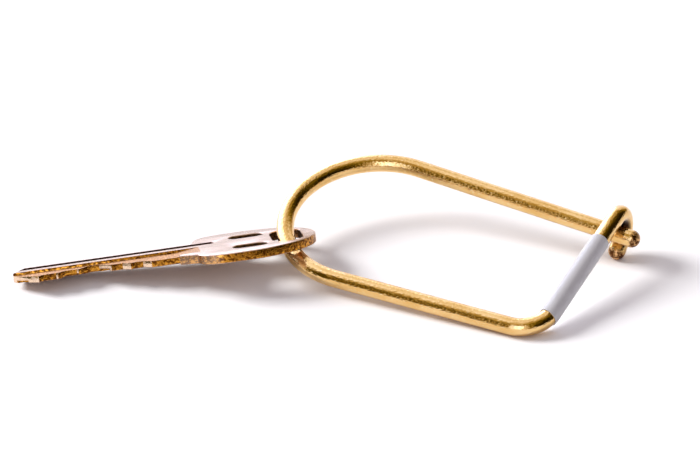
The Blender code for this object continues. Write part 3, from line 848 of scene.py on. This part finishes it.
print("Sleeve material:", len(tree.nodes), "nodes")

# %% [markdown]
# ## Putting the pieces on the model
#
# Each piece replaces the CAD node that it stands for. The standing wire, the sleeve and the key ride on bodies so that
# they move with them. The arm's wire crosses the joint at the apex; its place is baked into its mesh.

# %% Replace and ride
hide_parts("wire_frame")
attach(ring_wire, "ring")
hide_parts("wire_arm")
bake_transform(arm_wire)
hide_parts("bar_sleeve")
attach(sleeve, "ring")
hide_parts("key")
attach(key, "key")
print("Pieces:", ", ".join(piece.name for piece in (ring_wire, arm_wire, sleeve, key)))

# %% [markdown]
# ## The table
#
# The object lies on plain white paper with a faint grain. In the photograph the paper is exposed up to pure white, so
# the camera and the brass see it brighter than it lights its surroundings: Light Path tells these rays apart.

# %% Table top
TABLE_SIZE = 6.0
TABLE_WHITE = (0.975, 0.970, 0.980)
TABLE_GRAIN = (0.955, 0.949, 0.962)
TABLE_EXPOSURE = 1.50
GRAIN_WIDTH = 12 * MILLIMETRE
GRAIN_MASK = (0.45, 0.75)
NO_BOUNCE_YET = 0.5             # a count of bounces below this is none
deselect()
bpy.ops.mesh.primitive_plane_add(size=TABLE_SIZE, location=(0, 0, 0))
table = bpy.context.object
table.name = "table"
table_paper, tree = new_material("white table paper")
tree.nodes.clear()
paper_place = add_node(tree, "ShaderNodeTexCoord").outputs["Object"]
grain = span(tree, noise(tree, paper_place, GRAIN_WIDTH, detail=5.0), *GRAIN_MASK)
papers = []
for exposure in (1.0, TABLE_EXPOSURE):
    paper = add_node(tree, "ShaderNodeBsdfDiffuse")
    tints = (tuple(channel * exposure for channel in tint) for tint in (TABLE_WHITE, TABLE_GRAIN))
    tree.links.new(blend_colours(tree, grain, *tints), paper.inputs["Color"])
    papers.append(paper.outputs["BSDF"])


def seen_directly(tree, with_camera):
    """1 for rays that show a thing in metal or glass, and if asked also for the camera's own.

    Rays that have met a matt surface on their way carry light instead of a picture, so they count as 0.
    """
    ray = add_node(tree, "ShaderNodeLightPath")
    shown = arithmetic(tree, "MAXIMUM", ray.outputs["Is Glossy Ray"], ray.outputs["Is Transmission Ray"])
    if with_camera:
        shown = arithmetic(tree, "MAXIMUM", shown, ray.outputs["Is Camera Ray"])
    straight = arithmetic(tree, "LESS_THAN", ray.outputs["Diffuse Depth"], NO_BOUNCE_YET)
    return arithmetic(tree, "MULTIPLY", shown, straight)


def mix_shaders(tree, mask, first, second):
    """Mix two shaders by a mask."""
    mixed = add_node(tree, "ShaderNodeMixShader")
    for socket, value in zip(mixed.inputs, (mask, first, second)):
        tree.links.new(value, socket)
    return mixed.outputs["Shader"]


seen_paper = mix_shaders(tree, seen_directly(tree, True), *papers)
tree.links.new(seen_paper, add_node(tree, "ShaderNodeOutputMaterial").inputs["Surface"])
cover(table_paper, table)
print("Table:", TABLE_SIZE, "m square")

# %% [markdown]
# ## The studio
#
# The photograph's brass shows the room it was taken in. A bright window stands at the left, a smaller light in front,
# the right side is nearly black, and the ceiling is grey. The world shader gives back such a room. Three ramps hold
# the brightness by compass direction, for the walls, for their tops and for the ceiling, and height chooses between
# them. Rays from the camera see plain white instead, and matt surfaces get plain soft light from all round.

# %% Brightness of the room
WALL_LEVELS = (                 # compass direction in degrees from +X towards +Y, brightness
    (-180, 2.60), (-171, 1.60), (-166, 0.30), (-161, 1.40), (-152, 1.40), (-147, 0.25), (-136, 0.10), (-128, 0.05),
    (-120, 0.10), (-111, 0.17), (-105, 0.55), (-98, 1.40), (-88, 1.60), (-79, 2.60), (-72, 2.40), (-64, 0.90),
    (-50, 0.25), (-38, 0.05), (-10, 0.012), (6, 0.012), (18, 0.08), (30, 0.02), (46, 0.015), (60, 0.05),
    (74, 0.30), (86, 0.90), (100, 1.25), (117, 1.35), (125, 3.10), (135, 3.70), (165, 3.70), (180, 2.60))
TOP_LEVELS = (
    (-180, 1.25), (-160, 1.60), (-145, 1.10), (-136, 0.72), (-124, 0.52), (-112, 0.46), (-98, 0.50), (-85, 0.36),
    (-70, 0.38), (-50, 0.22), (-20, 0.12), (3, 0.12), (20, 0.16), (45, 0.05), (60, 0.10), (75, 0.30), (90, 0.42),
    (105, 0.74), (120, 0.98), (140, 1.18), (180, 1.25))
CEILING_LEVELS = (
    (-180, 1.15), (-155, 1.25), (-130, 0.85), (-100, 0.75), (-60, 0.50), (0, 0.42), (20, 0.52), (40, 0.70),
    (80, 0.98), (120, 1.10), (180, 1.15))
TOP_HEIGHTS = (sin(radians(38)), sin(radians(50)))
CEILING_HEIGHTS = (sin(radians(62)), sin(radians(71)))
BRIGHTEST = 4.5
DIM_LEVEL = 0.25
BRIGHT_LEVEL = 1.40
DIM_TINT = (1.20, 0.84, 0.05)   # a dark room is brown
BRIGHT_TINT = (0.97, 1.05, 1.38)


def room_colour(level):
    """Colour of a part of the room by its brightness, as a share of the brightest."""
    share = clamp((level - DIM_LEVEL) / (BRIGHT_LEVEL - DIM_LEVEL))
    return [level / BRIGHTEST * (dim + (bright - dim) * share) for dim, bright in zip(DIM_TINT, BRIGHT_TINT)]


def level_ramp(tree, compass, levels):
    """Ramp of the room's colour by compass direction."""
    ramp = add_node(tree, "ShaderNodeValToRGB")
    points = ramp.color_ramp.elements
    while len(points) < len(levels):
        points.new(0.5)
    for point, (degrees_round, level) in zip(points, levels):
        point.position = degrees_round / 360 + 0.5
        point.color = (*room_colour(level), 1)
    tree.links.new(compass, ramp.inputs["Fac"])
    return ramp.outputs["Color"]


world = bpy.data.worlds.new("studio")
bpy.context.scene.world = world
world.use_nodes = True
tree = world.node_tree
tree.nodes.clear()
direction = add_node(tree, "ShaderNodeSeparateXYZ")
tree.links.new(add_node(tree, "ShaderNodeTexCoord").outputs["Generated"], direction.inputs["Vector"])
round_angle = arithmetic(tree, "ARCTAN2", direction.outputs["Y"], direction.outputs["X"])
compass = arithmetic(tree, "ADD", arithmetic(tree, "DIVIDE", round_angle, tau), 0.5)
walls, tops, ceiling = (level_ramp(tree, compass, levels) for levels in (WALL_LEVELS, TOP_LEVELS, CEILING_LEVELS))
lower_room = blend_colours(tree, span(tree, direction.outputs["Z"], *TOP_HEIGHTS), walls, tops)
room = blend_colours(tree, span(tree, direction.outputs["Z"], *CEILING_HEIGHTS), lower_room, ceiling)
print("Room:", len(tree.nodes), "nodes")

# %% Light of the room
FILL = (0.342, 0.319, 0.334)    # soft light from all round, a little pink
WHITE = (1.0, 1.0, 1.0)
lights = []
for name, colour, strength in (("fill", FILL, 1.0), ("mirror", room, BRIGHTEST), ("camera", WHITE, 1.0)):
    light = add_node(tree, "ShaderNodeBackground", label=name)
    feed(tree, light.inputs["Color"], colour)
    feed(tree, light.inputs["Strength"], strength)
    lights.append(light.outputs["Background"])
fill, mirror, plain_white = lights
surroundings = mix_shaders(tree, seen_directly(tree, False), fill, mirror)
is_camera_ray = add_node(tree, "ShaderNodeLightPath").outputs["Is Camera Ray"]
seen_world = mix_shaders(tree, is_camera_ray, surroundings, plain_white)
tree.links.new(seen_world, add_node(tree, "ShaderNodeOutputWorld").inputs["Surface"])
print("World:", len(tree.nodes), "nodes")

# %% [markdown]
# ## The lamp
#
# The shadows in the photograph fall to the right and are wide and soft, so one large soft box stands at the left,
# 35 degrees up. It is left out of reflections, because the room above already holds its bright wall.

# %% Soft box
LAMP_COMPASS = radians(-171)
LAMP_HEIGHT = radians(35)
LAMP_DISTANCE = 2.6
LAMP_WIDTH = 1.15
LAMP_TALL = 1.05
LAMP_POWER = 55.0
lamp_way = Vector((cos(LAMP_HEIGHT) * cos(LAMP_COMPASS), cos(LAMP_HEIGHT) * sin(LAMP_COMPASS), sin(LAMP_HEIGHT)))
lamp_turn = lamp_way.to_track_quat("Z", "Y").to_euler()
deselect()
bpy.ops.object.light_add(type="AREA", location=lamp_way * LAMP_DISTANCE, rotation=lamp_turn)
lamp = bpy.context.object
lamp.name = "soft_box"
lamp.data.shape = "RECTANGLE"
lamp.data.size = LAMP_WIDTH
lamp.data.size_y = LAMP_TALL
lamp.data.energy = LAMP_POWER
lamp.visible_glossy = False
print("Lamp at", [round(value, 2) for value in lamp.location])

# %% [markdown]
# ## The camera
#
# The camera stands where the photographer's did: about half a metre off, to the right of the key, looking down by 28
# degrees through a long lens.

# %% Camera
CAMERA_PLACE = Vector((0.224009, -0.410795, 0.257286))
CAMERA_AHEAD = Vector((-0.41668, 0.77751, -0.47102))
CAMERA_RIGHT = Vector((0.88643, 0.46240, -0.02082))
SENSOR_WIDTH = 36.0
LENS = 154.29
deselect()
bpy.ops.object.camera_add(location=CAMERA_PLACE)
camera = bpy.context.object
camera.name = "camera"
backward = -CAMERA_AHEAD.normalized()
camera_up = backward.cross(CAMERA_RIGHT).normalized()
camera.rotation_euler = Matrix((camera_up.cross(backward), camera_up, backward)).transposed().to_euler()
camera.data.sensor_width = SENSOR_WIDTH
camera.data.lens = LENS
bpy.context.scene.camera = camera
bpy.context.scene.view_settings.view_transform = "Standard"
print("Camera looks down by", round(degrees(asin(-CAMERA_AHEAD.normalized().z)), 1), "degrees")
